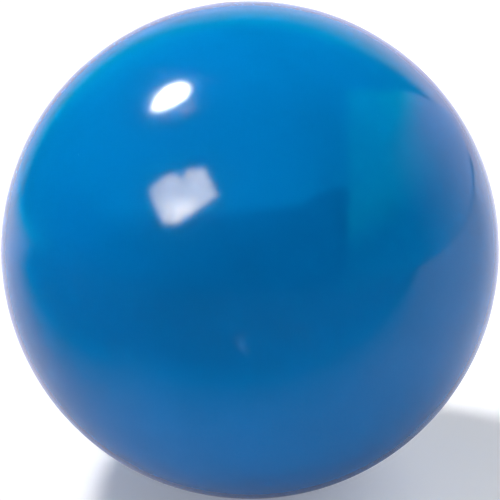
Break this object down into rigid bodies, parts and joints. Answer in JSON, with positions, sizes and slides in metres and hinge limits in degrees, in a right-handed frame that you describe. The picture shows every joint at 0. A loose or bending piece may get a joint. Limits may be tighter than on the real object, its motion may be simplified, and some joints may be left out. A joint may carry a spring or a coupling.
{
  "type": "croquet ball",
  "caption": "Solid round ball for croquet: moulded cork-composition core in a hard two-part cover with a glossy blue enamel finish.",
  "frame": {"origin": "the ball's centre", "axes": "+Z along the common axis of the two cover cups, out of the upper cup; the hidden seam lies in the plane Z = 0; X and Y are free, because the ball is round about Z"},
  "size_m": [0.0921, 0.092, 0.0922],
  "materials": {
    "cork_core": "matte",
    "core_cement": "satin",
    "cover_plastic": "satin",
    "seam_cement": "satin",
    "seam_filler": "matte",
    "undercoat": "matte",
    "enamel": "gloss"
  },
  "bodies": {
    "root": {"cork_core": "cork_core", "core_cement": "core_cement", "lower_cup": "cover_plastic", "upper_cup": "cover_plastic", "seam_cement": "seam_cement", "seam_filler": "seam_filler", "undercoat": "undercoat", "enamel_coat": "enamel"}
  },
  "joints": []
}
